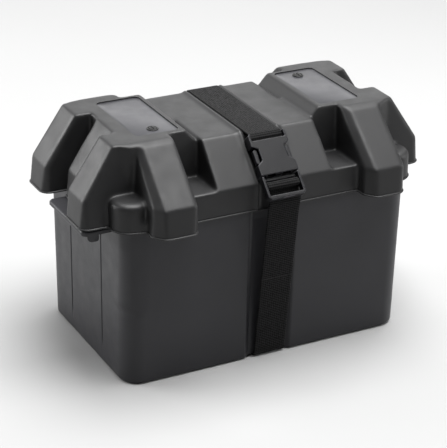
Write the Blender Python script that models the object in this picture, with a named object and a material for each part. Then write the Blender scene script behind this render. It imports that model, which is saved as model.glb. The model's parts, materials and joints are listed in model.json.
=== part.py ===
"""Strapped battery box holding a deep cycle battery.

X runs along the box, -Y is the side with the buckle and +Z is up. The origin is the middle of
the bottom. All lengths are in metres.
"""
import math

import bmesh
import bpy
from mathutils import Matrix, Vector

# ---- driving dimensions -------------------------------------------------------------------
GAP = 0.0003                 # play left between pieces that touch
WALL = 0.003                 # moulded wall of the box and lid

BOX_HALF_X = 0.1685          # outside of the box at its bottom
BOX_HALF_Y = 0.1025
BOX_TOP_HALF_X = 0.1690      # and just under its rim
BOX_TOP_HALF_Y = 0.1066
BOX_CORNER = 0.022
BOX_FOOT = 0.005             # rounding where walls meet the bottom
RIM_Z = 0.1780               # lid's lower edge
SPIGOT_TOP = 0.1870          # lip of the box that rises inside the lid
SPIGOT_STEP = 0.0034
CHANNEL_HALF = 0.0220        # strap channel in the box, centred
CHANNEL_DEPTH = 0.0035
FLOOR_TOP = 0.0050
RIB_TOP = 0.0076             # floor ribs that carry the battery
SHELF_X = 0.2048             # reach of the hand grip at each end
SHELF_Y = (-0.0784, 0.0150)  # its sides at the -X end; the +X end is the same, half turned
SHELF_THICK = 0.0055
SHELF_CORNER = 0.0040
TAB_THICK = 0.0032           # tab that hangs under one side of the grip
TAB_PROFILE = ((0.1868, 0.1745), (0.1995, 0.1745), (0.1995, 0.1690), (0.1975, 0.1665),
               (0.1945, 0.1655), (0.1885, 0.1655), (0.1868, 0.1672))

TOP_Z = 0.2610               # end blocks and ears
DECK_Z = 0.2510              # lower deck between the blocks
SHOULDER_Z = 0.2085          # where slopes meet skirts
COLLAR_TOP = 0.1906          # low collar of the lid behind each corner boss
CORNER_CUT = (0.1300, 0.0600)      # where that low collar starts
DECK_EDGE_Y = 0.0650
SKIRT_Y = 0.1077             # lid's long side at the rim
SKIRT_TOP_Y = 0.1070
SKIRT_X = 0.1705
SKIRT_TOP_X = 0.1698
SKIRT_CORNER = 0.0240
BLOCK_INNER_X = 0.0790
BLOCK_END_X = 0.1485         # upright walls of the end blocks, behind their ears
BLOCK_SIDE_Y = 0.0580
RECESS_LEAN = 0.0030         # how far those walls lean out over their height
END_RIB_FOOT_X = 0.1820      # sloped rib between the two ears of an end
END_RIB_Y = (-0.0360, 0.0130)
CORNER_BACK = (0.1545, 0.0698)     # wall behind each corner boss
CENTRE_FRONT = (-0.0655, 0.0692)   # raised middle of the long side, seen from the front

# ears: distance of their top edge, shoulder and rim, then both sides at the top and at the rim
LONG_EAR_REACH = (0.0755, 0.1300, 0.1335)
LONG_EAR_TOP_Z = 0.2580      # their tops fall away a little
ROOF_FALL_Y = 0.0674         # from here on
LONG_EAR_BACK = 0.0300
LONG_EARS_X = (((-0.1425, -0.0995), (-0.1470, -0.0985)), ((0.1015, 0.1455), (0.1010, 0.1470)))
END_EAR_REACH = (0.1655, 0.2015, 0.2056)
END_EAR_BACK = 0.1200
END_EARS_Y = (((0.0280, 0.0670), (0.0250, 0.0700)), ((-0.0665, -0.0310), (-0.0785, -0.0300)))
# corners cut off an ear: at its top, along the shoulder, down the flank and at the rim
WIDE_CUT = (0.0065, 0.0085, 0.0110, 0.0100)
NARROW_CUT = (0.0020, 0.0035, 0.0035, 0.0065)

BOSS_X = 0.1550
BOSS_Y = 0.0840
BOSS_PROFILE = ((0.0220, RIM_Z), (0.0214, 0.2050), (0.0194, 0.2082), (0.0150, 0.2096))
BOSS_SIDES = 20
BEAD_X = (0.0205, 0.0235)    # low ridges beside the strap, from its centre line
BEAD_HIGH = 0.0022
BEAD_DEEP = 0.0015           # how far they sink into the lid

LABEL_X = 0.1085             # label fields on the end blocks
LABEL_HALF = (0.0250, 0.0520)
LABEL_CORNER = 0.0060
LABEL_DEPTH = 0.0016
LABEL_BELOW = 0.0010         # plate's face under the block's top
PLUG_SPOT = (0.1078, 0.0378)
PLUG_RADIUS = (0.0063, 0.0050)
PLUG_HIGH = (-0.0004, 0.0001)

STRAP_X = 0.0020             # strap's centre line
STRAP_WIDE = 0.0380
STRAP_THICK = 0.0018
BUCKLE_WIDE = 0.0440
BUCKLE_LOW = 0.0030          # buckle's underside and top above the lid's slope
BUCKLE_HIGH = 0.0140

BATTERY_HALF_X = 0.1530
BATTERY_HALF_Y = 0.0860
CASE_BOTTOM = RIB_TOP + GAP
CASE_TOP = 0.1860
COVER_TOP = 0.2020
BATTERY_CORNER = 0.0060
CASE_FLOOR = 0.0040
CELLS = 6
CELL_WALL = 0.0020
PLATES_HALF = (0.0225, 0.0800)     # block of lead plates in each cell
PLATES_TOP = 0.1500
PLATES_CLEAR = 0.0060        # from the bottom of the case
LUG_Y = 0.0550               # lugs on the plates, one row near each long side
LUG_HALF = (0.0230, 0.0080)
LUG_TOP = 0.1720
LINK_Z = 0.1660              # links through the cell walls
LINK_HALF = (0.0056, 0.0046)
LINK_HOLE = (0.0060, 0.0050)
CAP_Y = 0.0120               # row of filling holes
CAP_HALF = (0.0160, 0.0170)
CAP_HIGH = 0.0090
HOLE_RADIUS = 0.0090
STEM_RADIUS = (0.0070, 0.0084)
TERMINAL_X = 0.1230
TERMINAL_Y = 0.0550
POST_RADIUS = (0.0096, 0.0088)
POST_HIGH = 0.0060
STUD_RADIUS = (0.0040, 0.0032)
STUD_HIGH = 0.0180
WASHER = (0.0085, 0.0016)    # radius and thickness
NUT = (0.0075, 0.0070)       # radius and height
THREAD_HOLE = 0.0044
WING_THICK = 0.0026
WING_PROFILE = ((0.0062, 0.0005), (0.0110, 0.0040), (0.0150, 0.0100), (0.0140, 0.0130),
                (0.0110, 0.0120), (0.0062, 0.0060))

LID_SOLVER = "MANIFOLD"      # the lid's many flush faces are too much for the exact solver

# the front slope of the lid: distance down it (s) and height above it (h)
SLOPE_DOWN = Vector((0, -(SKIRT_TOP_Y - DECK_EDGE_Y), SHOULDER_Z - DECK_Z)).normalized()
SLOPE_OUT = Vector((0, SLOPE_DOWN.z, -SLOPE_DOWN.y))


# ---- small toolkit ------------------------------------------------------------------------
def clear_scene():
    for item in list(bpy.data.objects):
        bpy.data.objects.remove(item, do_unlink=True)


def material(name, colour, roughness, metallic=0.0):
    made = bpy.data.materials.new(name)
    made.use_nodes = True
    shader = made.node_tree.nodes["Principled BSDF"]
    shader.inputs["Base Color"].default_value = (*colour, 1.0)
    shader.inputs["Roughness"].default_value = roughness
    shader.inputs["Metallic"].default_value = metallic
    made.diffuse_color = (*colour, 1.0)
    return made


def add(name, bm, finish=None):
    """Turn a bmesh into a linked object."""
    bmesh.ops.recalc_face_normals(bm, faces=bm.faces)
    mesh = bpy.data.meshes.new(name)
    bm.to_mesh(mesh)
    bm.free()
    made = bpy.data.objects.new(name, mesh)
    bpy.context.scene.collection.objects.link(made)
    if finish:
        own = finish.copy()
        own.name = f"{finish.name}_{name}"
        mesh.materials.append(own)
    return made


def helper(name, bm):
    """A shape that only shapes others."""
    made = add(name, bm)
    made.hide_render = True
    made.display_type = "WIRE"
    return made


def combine(target, operation, helpers, solver="EXACT"):
    """Union or cut a set of helper shapes with a Boolean each."""
    for shape in helpers:
        step = target.modifiers.new(operation.lower(), "BOOLEAN")
        step.operation = operation
        step.solver = solver
        step.object = shape


def block(x0, x1, y0, y1, z0, z1):
    bm = bmesh.new()
    bmesh.ops.create_cube(bm, size=1.0)
    size = Vector((x1 - x0, y1 - y0, z1 - z0))
    middle = Vector((x1 + x0, y1 + y0, z1 + z0)) / 2
    bmesh.ops.transform(bm, matrix=Matrix.LocRotScale(middle, None, size), verts=bm.verts)
    return bm


def loft(rings):
    """Closed solid through rings that hold the same number of points."""
    bm = bmesh.new()
    rows = [[bm.verts.new(point) for point in ring] for ring in rings]
    count = len(rows[0])
    for low, high in zip(rows, rows[1:]):
        for i in range(count):
            j = (i + 1) % count
            bm.faces.new((low[i], low[j], high[j], high[i]))
    bm.faces.new(rows[0][::-1])
    bm.faces.new(rows[-1])
    return bm


def extrude(outline, place):
    """Prism of a 2-D outline; place(u, v, side) gives the point on side 0 or 1."""
    return loft([[place(u, v, side) for u, v in outline] for side in (0, 1)])


def turned(centre, profile, sides):
    """Upright turned piece from (radius, z) pairs."""
    rings = []
    for radius, z in profile:
        turn = [2 * math.pi * i / sides for i in range(sides)]
        rings.append([(centre[0] + radius * math.cos(a), centre[1] + radius * math.sin(a), z)
                      for a in turn])
    return loft(rings)


def turned_ring(centre, radii, heights, sides):
    """Upright ring: inner and outer radius, low and high z."""
    inner, outer = radii
    low, high = heights
    bm = bmesh.new()
    loops = []
    for radius, z in ((inner, low), (outer, low), (outer, high), (inner, high)):
        turn = [2 * math.pi * i / sides for i in range(sides)]
        loops.append([bm.verts.new((centre[0] + radius * math.cos(a),
                                    centre[1] + radius * math.sin(a), z)) for a in turn])
    for loop, following in zip(loops, loops[1:] + loops[:1]):
        for i in range(sides):
            j = (i + 1) % sides
            bm.faces.new((loop[i], loop[j], following[j], following[i]))
    return bm


def rounded_rectangle(half_x, half_y, radius, z, steps=5, channel=0.0):
    """Ring of points; channel sinks the strap's width into both long sides."""
    ring = []
    corners = ((1, -1, -90), (1, 1, 0), (-1, 1, 90), (-1, -1, 180))
    for sx, sy, start in corners:
        cx = sx * (half_x - radius)
        cy = sy * (half_y - radius)
        for i in range(steps + 1):
            a = math.radians(start + 90 * i / steps)
            ring.append((cx + radius * math.cos(a), cy + radius * math.sin(a), z))
        if sx == sy and channel:
            side = sy * half_y
            sunk = sy * (half_y - channel)
            for x, y in ((CHANNEL_HALF, side), (CHANNEL_HALF, sunk),
                         (-CHANNEL_HALF, sunk), (-CHANNEL_HALF, side)):
                ring.append((sy * x, y, z))
    return ring


def clip(planes, size=0.5):
    """Convex solid kept inside every plane, given as (outward normal, point) pairs."""
    bm = bmesh.new()
    bmesh.ops.create_cube(bm, size=2 * size)
    for normal, point in planes:
        geometry = bm.verts[:] + bm.edges[:] + bm.faces[:]
        cut = bmesh.ops.bisect_plane(bm, geom=geometry, dist=1e-7, plane_co=point,
                                     plane_no=normal, clear_outer=True)
        edges = [e for e in cut["geom_cut"] if isinstance(e, bmesh.types.BMEdge)]
        if edges:
            bmesh.ops.contextual_create(bm, geom=edges)
    for vertex in bm.verts:
        vertex.co = Vector([round(value, 6) for value in vertex.co])
    bmesh.ops.recalc_face_normals(bm, faces=bm.faces)
    return bm


def tilted(first, second, outward):
    """Plane through two (across, z) points; outward is the horizontal direction it faces."""
    run = second[0] - first[0]
    drop = first[1] - second[1]
    normal = (Vector(outward) * drop + Vector((0, 0, run))).normalized()
    return normal, Vector(outward) * first[0] + Vector((0, 0, first[1]))


def inset(planes, thickness=WALL):
    return [(normal, point - normal * thickness) for normal, point in planes]


# ---- materials ----------------------------------------------------------------------------
def make_materials():
    return {
        "box": material("moulded_box_black", (0.028, 0.028, 0.031), 0.52),
        "lid": material("moulded_lid_black", (0.040, 0.040, 0.043), 0.58),
        "label": material("smooth_label_grey", (0.120, 0.120, 0.126), 0.45),
        "plug": material("gloss_plug_black", (0.030, 0.030, 0.032), 0.30),
        "webbing": material("black_webbing", (0.015, 0.015, 0.016), 0.90),
        "buckle": material("satin_buckle_black", (0.020, 0.020, 0.021), 0.38),
        "case": material("battery_case_grey", (0.070, 0.072, 0.076), 0.50),
        "cover": material("battery_cover_black", (0.030, 0.030, 0.032), 0.45),
        "cap": material("vent_cap_yellow", (0.560, 0.360, 0.030), 0.45),
        "lead": material("lead_grey", (0.300, 0.310, 0.330), 0.55, 0.85),
        "steel": material("stainless_steel", (0.600, 0.600, 0.600), 0.30, 1.0),
    }


# ---- box ----------------------------------------------------------------------------------
def make_box(finish):
    shoulder = RIM_Z - GAP
    neck_x = BOX_TOP_HALF_X - SPIGOT_STEP
    neck_y = BOX_TOP_HALF_Y - SPIGOT_STEP
    neck_r = BOX_CORNER - SPIGOT_STEP
    rings = [
        rounded_rectangle(BOX_HALF_X - BOX_FOOT, BOX_HALF_Y - BOX_FOOT, BOX_CORNER - BOX_FOOT,
                          0.0, channel=CHANNEL_DEPTH),
        rounded_rectangle(BOX_HALF_X - 0.0015, BOX_HALF_Y - 0.0015, BOX_CORNER - 0.0015,
                          0.0015, channel=CHANNEL_DEPTH),
        rounded_rectangle(BOX_HALF_X, BOX_HALF_Y, BOX_CORNER, BOX_FOOT, channel=CHANNEL_DEPTH),
        rounded_rectangle(BOX_TOP_HALF_X, BOX_TOP_HALF_Y, BOX_CORNER, shoulder,
                          channel=CHANNEL_DEPTH - 0.0003),
    ]
    base = add("box_base", loft(rings), finish)
    shapes = [helper("spigot", loft([rounded_rectangle(neck_x, neck_y, neck_r, z)
                                     for z in (shoulder - 0.01, SPIGOT_TOP)]))]
    low, high = SHELF_Y
    inner = BOX_TOP_HALF_X - 0.0020
    near = SHELF_X - SHELF_CORNER
    shelf = [(inner, low), (near, low), (SHELF_X, low + SHELF_CORNER),
             (SHELF_X, high - SHELF_CORNER), (near, high), (inner, high)]
    for end in (-1, 1):
        shapes.append(helper(f"grip_shelf_{end}", extrude(
            shelf, lambda u, v, k, e=end: (e * u, -e * v, shoulder - k * SHELF_THICK))))
        shapes.append(helper(f"grip_tab_{end}", extrude(
            TAB_PROFILE, lambda u, v, k, e=end: (e * u, -e * (low + k * TAB_THICK), v))))
    combine(base, "UNION", shapes)
    under = helper("under_channel", block(-CHANNEL_HALF, CHANNEL_HALF, -0.2, 0.2, -0.01,
                                          CHANNEL_DEPTH))
    hollow = helper("box_hollow", loft([
        rounded_rectangle(BOX_HALF_X - WALL - 0.002, BOX_HALF_Y - WALL - 0.002, BOX_CORNER - 0.005,
                          FLOOR_TOP, channel=CHANNEL_DEPTH),
        rounded_rectangle(BOX_HALF_X - WALL, BOX_HALF_Y - WALL, BOX_CORNER - WALL,
                          FLOOR_TOP + 0.003, channel=CHANNEL_DEPTH),
        rounded_rectangle(neck_x - 0.0026, neck_y - 0.0026, neck_r - 0.0026,
                          SPIGOT_TOP - 0.017, channel=CHANNEL_DEPTH - 0.0003),
        rounded_rectangle(neck_x - 0.0026, neck_y - 0.0026, neck_r - 0.0026,
                          SPIGOT_TOP - 0.013, channel=0.0010),
        rounded_rectangle(neck_x - 0.0026, neck_y - 0.0026, neck_r - 0.0026,
                          SPIGOT_TOP + 0.01, channel=0.0010)]))
    ribs = [helper("channel_hump", block(-CHANNEL_HALF - WALL, CHANNEL_HALF + WALL, -0.2, 0.2,
                                         -0.01, RIB_TOP))]
    for end in (-1, 1):
        ribs.append(helper(f"floor_rib_{end}", block(end * 0.115 - 0.005, end * 0.115 + 0.005,
                                                     -0.075, 0.075, -0.01, RIB_TOP)))
    combine(hollow, "DIFFERENCE", ribs)
    combine(base, "DIFFERENCE", [under, hollow])


# ---- lid ----------------------------------------------------------------------------------
def half_turn(planes):
    turn = Matrix.Rotation(math.pi, 3, "Z")
    return [(turn @ normal, turn @ point) for normal, point in planes]


def quarter_turn(planes):
    turn = Matrix.Rotation(-math.pi / 2, 3, "Z")
    return [(turn @ normal, turn @ point) for normal, point in planes]


def through(points, inside):
    """Plane through three points, facing away from a fourth."""
    a, b, c = points
    normal = (b - a).cross(c - a).normalized()
    if normal.dot(inside - a) > 0:
        normal = -normal
    return normal, a


def ear(reach, top_z, sides, back, cuts):
    """Planes of an ear that faces -Y: sides and cuts belong to its -X and +X flank."""
    top, shoulder, rim = reach
    planes = [(Vector((0, 0, 1)), Vector((0, 0, TOP_Z))),
              tilted((top, top_z), (shoulder, SHOULDER_Z), (0, -1, 0)),
              tilted((shoulder, SHOULDER_Z), (rim, RIM_Z), (0, -1, 0)),
              (Vector((0, 1, 0)), Vector((0, -back, 0)))]
    inside = Vector((sum(sides[0]) / 2, -top, RIM_Z))
    for side, high, low, cut in zip((-1, 1), *sides, cuts):
        flank = tilted((side * high, TOP_Z), (side * low, RIM_Z), (side, 0, 0))
        lean = (high - low) / (TOP_Z - RIM_Z)
        at_shoulder = low + lean * (SHOULDER_Z - RIM_Z)
        at_top, along, down, at_rim = cut
        upper = Vector((low + lean * (top_z - RIM_Z) - side * at_top, -top, top_z))
        corner = Vector((at_shoulder - side * along, -shoulder, SHOULDER_Z))
        behind = Vector((at_shoulder, down - shoulder, SHOULDER_Z))
        foot = Vector((low - side * at_rim, -rim, RIM_Z))
        planes += [flank, through((upper, corner, behind), inside),
                   through((corner, behind, foot), inside)]
    if top_z < TOP_Z:
        planes.append(tilted((ROOF_FALL_Y, TOP_Z), (top, top_z), (0, -1, 0)))
    return planes


def central_body():
    low, high = CENTRE_FRONT
    edge = SKIRT_TOP_Y - 0.0005
    return [(Vector((0, 0, 1)), Vector((0, 0, DECK_Z))),
            tilted((DECK_EDGE_Y, DECK_Z), (edge, SHOULDER_Z), (0, -1, 0)),
            (Vector((0, -1, 0)), Vector((0, -edge, 0))),
            tilted((-low, DECK_Z), (-low + 0.002, RIM_Z), (-1, 0, 0)),
            tilted((high, DECK_Z), (high + 0.002, RIM_Z), (1, 0, 0))]


def end_block():
    """Core of the -X block, behind its ears."""
    planes = [(Vector((0, 0, 1)), Vector((0, 0, TOP_Z))),
              tilted((-BLOCK_INNER_X, TOP_Z), (-BLOCK_INNER_X + 0.009, DECK_Z), (1, 0, 0)),
              tilted((BLOCK_END_X, TOP_Z), (BLOCK_END_X + RECESS_LEAN, SHOULDER_Z), (-1, 0, 0))]
    for side in (-1, 1):
        planes.append(tilted((BLOCK_SIDE_Y, TOP_Z), (BLOCK_SIDE_Y + RECESS_LEAN, SHOULDER_Z),
                             (0, side, 0)))
    return planes


def end_rib():
    """Sloped rib that fills most of the recess between the two ears of the -X end."""
    low, high = END_RIB_Y
    return [(Vector((0, 0, 1)), Vector((0, 0, TOP_Z))),
            tilted((BLOCK_END_X, TOP_Z), (END_RIB_FOOT_X, SHOULDER_Z), (-1, 0, 0)),
            tilted((END_RIB_FOOT_X, SHOULDER_Z), (END_RIB_FOOT_X + RECESS_LEAN, RIM_Z), (-1, 0, 0)),
            (Vector((0, -1, 0)), Vector((0, low, 0))),
            tilted((high, TOP_Z), (high + 0.001, RIM_Z), (0, 1, 0)),
            (Vector((1, 0, 0)), Vector((-BLOCK_END_X + 0.030, 0, 0)))]


def corner_wall(sx, sy):
    """Upright wall across a corner of the lid, from an end ear to a long ear."""
    x, y = CORNER_BACK
    return [(Vector((0, 0, 1)), Vector((0, 0, TOP_Z))),
            (Vector((sx * 0.42, sy * 0.90, 0.03)).normalized(), Vector((sx * x, sy * y, TOP_Z))),
            (Vector((sx, 0, 0)), Vector((sx * (x + 0.006), 0, 0))),
            (Vector((0, sy, 0)), Vector((0, sy * (y + 0.003), 0))),
            (Vector((-sx, 0, 0)), Vector((sx * (x - 0.030), 0, 0))),
            (Vector((0, -sy, 0)), Vector((0, sy * (y - 0.030), 0))),
            tilted((ROOF_FALL_Y - 0.0004, TOP_Z), (LONG_EAR_REACH[0], LONG_EAR_TOP_Z - 0.0002),
                   (0, sy, 0))]


def add_floor(planes, z):
    return planes + [(Vector((0, 0, -1)), Vector((0, 0, z)))]


def lid_shapes():
    """Outer solids and matching hollows of the lid as two lists of helpers."""
    solids = []
    hollows = []

    def shell(name, planes, open_sides=(), turns=((lambda p: p, "a"), (half_turn, "b"))):
        inner = [pair if i in open_sides else moved
                 for i, (pair, moved) in enumerate(zip(planes, inset(planes)))]
        for turn, mark in turns:
            solids.append(helper(f"{name}_{mark}", clip(add_floor(turn(planes), RIM_Z))))
            hollows.append(helper(f"{name}_{mark}_hollow",
                                  clip(add_floor(turn(inner), RIM_Z - 0.01))))

    shell("end_block", end_block())
    shell("end_rib", end_rib(), open_sides=(3, 5))
    for i, sides in enumerate(LONG_EARS_X):
        planes = ear(LONG_EAR_REACH, LONG_EAR_TOP_Z, sides, LONG_EAR_BACK, (WIDE_CUT, NARROW_CUT))
        shell(f"ear_long_{i}", planes, open_sides=(3,))
    for i, sides in enumerate(END_EARS_Y):
        turned_sides = [(-high, -low) for low, high in sides]
        planes = ear(END_EAR_REACH, TOP_Z, turned_sides, END_EAR_BACK, (NARROW_CUT, NARROW_CUT))
        shell(f"ear_end_{i}", quarter_turn(planes), open_sides=(3,))
    halfway = (Vector((0, 1, 0)), Vector((0, WALL + 0.001, 0)))
    shell("centre", central_body() + [halfway])
    for sx in (-1, 1):
        for sy in (-1, 1):
            shell(f"corner_{sx}_{sy}", corner_wall(sx, sy), open_sides=(2, 4, 5),
                  turns=((lambda p: p, "a"),))
            spot = (sx * BOSS_X, sy * BOSS_Y)
            solids.append(helper(f"boss_{sx}_{sy}", turned(spot, BOSS_PROFILE, BOSS_SIDES)))
            room = [(radius - WALL, z - WALL) for radius, z in BOSS_PROFILE[:3]]
            hollows.append(helper(f"boss_hollow_{sx}_{sy}", turned(
                spot, [(room[0][0], RIM_Z - 0.01)] + room[1:], BOSS_SIDES)))
    return solids, hollows


def skirt_shape(name, thickness, low, finish=None):
    """Skirt of the lid, or with a thickness the room inside it; lower at its four corners."""
    top = SHOULDER_Z - thickness
    made = add(name, loft([
        rounded_rectangle(SKIRT_X - thickness, SKIRT_Y - thickness, SKIRT_CORNER - thickness, low,
                          steps=4),
        rounded_rectangle(SKIRT_TOP_X - thickness, SKIRT_TOP_Y - thickness,
                          SKIRT_CORNER - thickness, top, steps=4)]), finish)
    x, y = CORNER_CUT
    corners = []
    for sx in (-1, 1):
        for sy in (-1, 1):
            x0, x1 = sorted((sx * (x - thickness), sx * 0.3))
            y0, y1 = sorted((sy * (y - thickness), sy * 0.3))
            corners.append(helper(f"{name}_corner_{sx}_{sy}", block(
                x0, x1, y0, y1, COLLAR_TOP - thickness, 0.3)))
    combine(made, "DIFFERENCE", corners)
    return made


def slope_point(s, h, x=0.0):
    """Point on the front slope: s down it from the deck's edge, h above it."""
    start = Vector((x, -DECK_EDGE_Y, DECK_Z))
    return start + SLOPE_DOWN * s + SLOPE_OUT * h


def strap_beads():
    """Low ridges that keep the strap in line, on the deck, both slopes and both skirts."""
    made = []
    length = Vector((0, SKIRT_TOP_Y - DECK_EDGE_Y, DECK_Z - SHOULDER_Z)).length
    outline = [(-0.0008, -BEAD_DEEP), (-0.0008, BEAD_HIGH), (length + 0.0006, BEAD_HIGH),
               (length + 0.0006, -BEAD_DEEP)]
    for side in (-1, 1):
        x0, x1 = sorted(STRAP_X + side * x for x in BEAD_X)
        made.append(block(x0, x1, -DECK_EDGE_Y - 0.0004, DECK_EDGE_Y + 0.0004,
                          DECK_Z - BEAD_DEEP, DECK_Z + BEAD_HIGH))
        for way in (-1, 1):
            def along(s, h, k, a=x0, b=x1, w=way):
                point = slope_point(s, h, b if k else a)
                return (point.x, -w * point.y, point.z)
            made.append(extrude(outline, along))
            y0, y1 = sorted((way * (SKIRT_TOP_Y - BEAD_DEEP), way * (SKIRT_Y + 0.0020)))
            made.append(block(x0, x1, y0, y1, RIM_Z + 0.0005, SHOULDER_Z + 0.0005))
    return [helper(f"bead_{i}", bm) for i, bm in enumerate(made)]


def label_outline(side, less, z):
    """Rounded field on the block of one side, smaller by less all round."""
    half_x, half_y = LABEL_HALF
    ring = rounded_rectangle(half_x - less, half_y - less, LABEL_CORNER - less, z, steps=4)
    return [(side * LABEL_X + x, y, z) for x, y, z in ring]


def make_lid(finishes):
    lid = skirt_shape("lid", 0.0, RIM_Z, finishes["lid"])
    solids, hollows = lid_shapes()
    hollows.append(skirt_shape("skirt_hollow", WALL, RIM_Z - 0.01))
    hollows[-1].hide_render = True
    combine(lid, "UNION", solids + strap_beads(), LID_SOLVER)
    combine(lid, "DIFFERENCE", hollows, LID_SOLVER)
    cuts = []
    for side, name in ((-1, "left"), (1, "right")):
        cuts.append(helper(f"label_recess_{name}", loft([
            label_outline(side, 0.0, TOP_Z - LABEL_DEPTH), label_outline(side, 0.0, TOP_Z + 0.01)])))
        add(f"label_plate_{name}", loft([
            label_outline(side, GAP, TOP_Z - LABEL_DEPTH + GAP),
            label_outline(side, GAP, TOP_Z - LABEL_BELOW)]), finishes["label"])
        spot = [side * value for value in PLUG_SPOT]
        wide, narrow = PLUG_RADIUS
        low, high = PLUG_HIGH
        add(f"vent_plug_{name}", turned(spot, (
            (wide, TOP_Z - LABEL_BELOW + GAP), (wide, TOP_Z + low), (narrow, TOP_Z + high)), 16),
            finishes["plug"])
    combine(lid, "DIFFERENCE", cuts, LID_SOLVER)


# ---- strap and buckle ---------------------------------------------------------------------
def ribbon(name, path, finish):
    """Flat strap along (y, z) points with mitred bends."""
    half = STRAP_THICK / 2
    points = [Vector(p) for p in path]
    left = []
    right = []
    for i, here in enumerate(points):
        before = (here - points[i - 1]).normalized() if i else None
        after = (points[i + 1] - here).normalized() if i + 1 < len(points) else None
        first = before or after
        second = after or before
        across = Vector((-first.y, first.x)) + Vector((-second.y, second.x))
        across.normalize()
        stretch = half / max(0.3, across.dot(Vector((-first.y, first.x))))
        left.append(here + across * stretch)
        right.append(here - across * stretch)
    outline = [tuple(p) for p in left + right[::-1]]
    low = STRAP_X - STRAP_WIDE / 2
    bm = extrude(outline, lambda y, z, k: (low + k * STRAP_WIDE, y, z))
    return add(name, bm, finish)


def on_slope(s, h):
    point = slope_point(s, h)
    return (point.y, point.z)


def make_strap(finish):
    lift = STRAP_THICK / 2 + 0.0004
    slope_top = (DECK_EDGE_Y + lift * 0.41, DECK_Z + lift)
    slope_foot = (SKIRT_TOP_Y + lift * 0.98, SHOULDER_Z + lift * 0.42)
    over = [(SKIRT_Y + lift + 0.0002, RIM_Z + 0.001), slope_foot, slope_top,
            (-slope_top[0], slope_top[1]),
            on_slope(0.0085, 0.0102), on_slope(0.0133, 0.0106), on_slope(0.0154, 0.0088),
            on_slope(0.0154, 0.0046), on_slope(0.0132, 0.0019), on_slope(0.0040, 0.0015)]
    ribbon("strap_over", over, finish)
    foot_y = BOX_HALF_Y - CHANNEL_DEPTH
    corner = [(foot_y + 0.0034, 0.0062), (foot_y + 0.0023, 0.0035), (foot_y - 0.0005, 0.0019)]
    under = ([(-0.1222, 0.1715)] + [(-y, z) for y, z in corner] + corner[::-1]
             + [(SKIRT_Y + lift + 0.0002, RIM_Z + 0.001 - GAP)])
    ribbon("strap_lower", under, finish)
    loop = [(-0.1226, 0.1755), on_slope(0.0836, 0.0034), on_slope(0.0745, 0.0046),
            on_slope(0.0716, 0.0076), on_slope(0.0707, 0.0112), on_slope(0.0690, 0.0124),
            on_slope(0.0660, 0.0124), on_slope(0.0640, 0.0110), on_slope(0.0638, 0.0046),
            on_slope(0.0655, 0.0019), on_slope(0.0735, 0.0014)]
    ribbon("strap_loop", loop, finish)


def slope_prism(outline, low, high):
    """Prism of an (x, s) outline between two heights above the slope."""
    def place(x, s, k):
        return tuple(slope_point(s, high if k else low, STRAP_X + x))
    return extrude(outline, place)


def slope_block(x0, x1, s0, s1, low=0.0, high=0.02):
    return slope_prism([(x0, s0), (x1, s0), (x1, s1), (x0, s1)], low, high)


def make_buckle(finish):
    half = BUCKLE_WIDE / 2
    slot = STRAP_WIDE / 2 + 0.0004
    top_s, bar_s, body_s, mouth_s = 0.0090, 0.0130, 0.0170, 0.0560
    outline = [(-half, top_s + 0.002), (-half + 0.002, top_s), (half - 0.002, top_s),
               (half, top_s + 0.002), (half, mouth_s), (-half, mouth_s)]
    socket = add("buckle_socket", slope_prism(outline, BUCKLE_LOW, BUCKLE_HIGH), finish)
    cuts = [slope_block(-slot, slot, bar_s, body_s),
            slope_block(-slot, slot, top_s - 0.002, bar_s + 0.001, low=0.0086),
            slope_block(-slot, slot, top_s - 0.002, bar_s + 0.001, high=0.0058),
            slope_block(-0.0185, 0.0185, 0.0205, mouth_s + 0.002, 0.0050, 0.0122)]
    for side in (-1, 1):
        cuts.append(slope_prism([(side * (half + 0.001), 0.0225), (side * 0.0152, 0.0265),
                                 (side * 0.0152, 0.0395), (side * (half + 0.001), 0.0455)],
                                0.0, 0.02))
    combine(socket, "DIFFERENCE", [helper(f"socket_cut_{i}", bm) for i, bm in enumerate(cuts)])

    start_s, end_s = 0.0572, 0.0830
    outline = [(-half, start_s), (half, start_s), (half, end_s - 0.003), (half - 0.003, end_s),
               (-half + 0.003, end_s), (-half, end_s - 0.003)]
    plug = add("buckle_plug", slope_prism(outline, 0.0055, 0.0135), finish)
    tongue = helper("plug_tongue", slope_block(-0.004, 0.004, 0.030, start_s + 0.001,
                                               0.0056, 0.0116))
    combine(plug, "UNION", [tongue])
    cuts = [slope_block(-slot, slot, 0.0612, 0.0660), slope_block(-slot, slot, 0.0696, 0.0790),
            slope_block(-slot, slot, 0.0655, 0.0700, low=0.0100),
            slope_block(-slot, slot, 0.0655, 0.0700, high=0.0062)]
    combine(plug, "DIFFERENCE", [helper(f"plug_cut_{i}", bm) for i, bm in enumerate(cuts)])

    for side, name in ((-1, "left"), (1, "right")):
        arm = [(0.0168, 0.0565), (0.0174, 0.0460), (0.0180, 0.0420), (0.0180, 0.0275),
               (0.0160, 0.0240), (0.0138, 0.0245), (0.0135, 0.0300), (0.0140, 0.0420),
               (0.0135, 0.0565)]
        arm = [(side * x, s) for x, s in arm]
        prong = add(f"prong_{name}", slope_prism(arm, 0.0058, 0.0114), finish)
        pivot = slope_point(0.0572, 0.0086, STRAP_X + side * 0.0150)
        prong.data.transform(Matrix.Translation(-pivot))
        prong.location = pivot


# ---- battery ------------------------------------------------------------------------------
def cell_centre(index):
    inner = 2 * (BATTERY_HALF_X - WALL)
    pitch = (inner + CELL_WALL) / CELLS
    return -BATTERY_HALF_X + WALL + (pitch - CELL_WALL) / 2 + index * pitch


def battery_outline(z, less=0.0):
    return rounded_rectangle(BATTERY_HALF_X - less, BATTERY_HALF_Y - less, BATTERY_CORNER - less, z,
                             steps=2)


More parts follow.
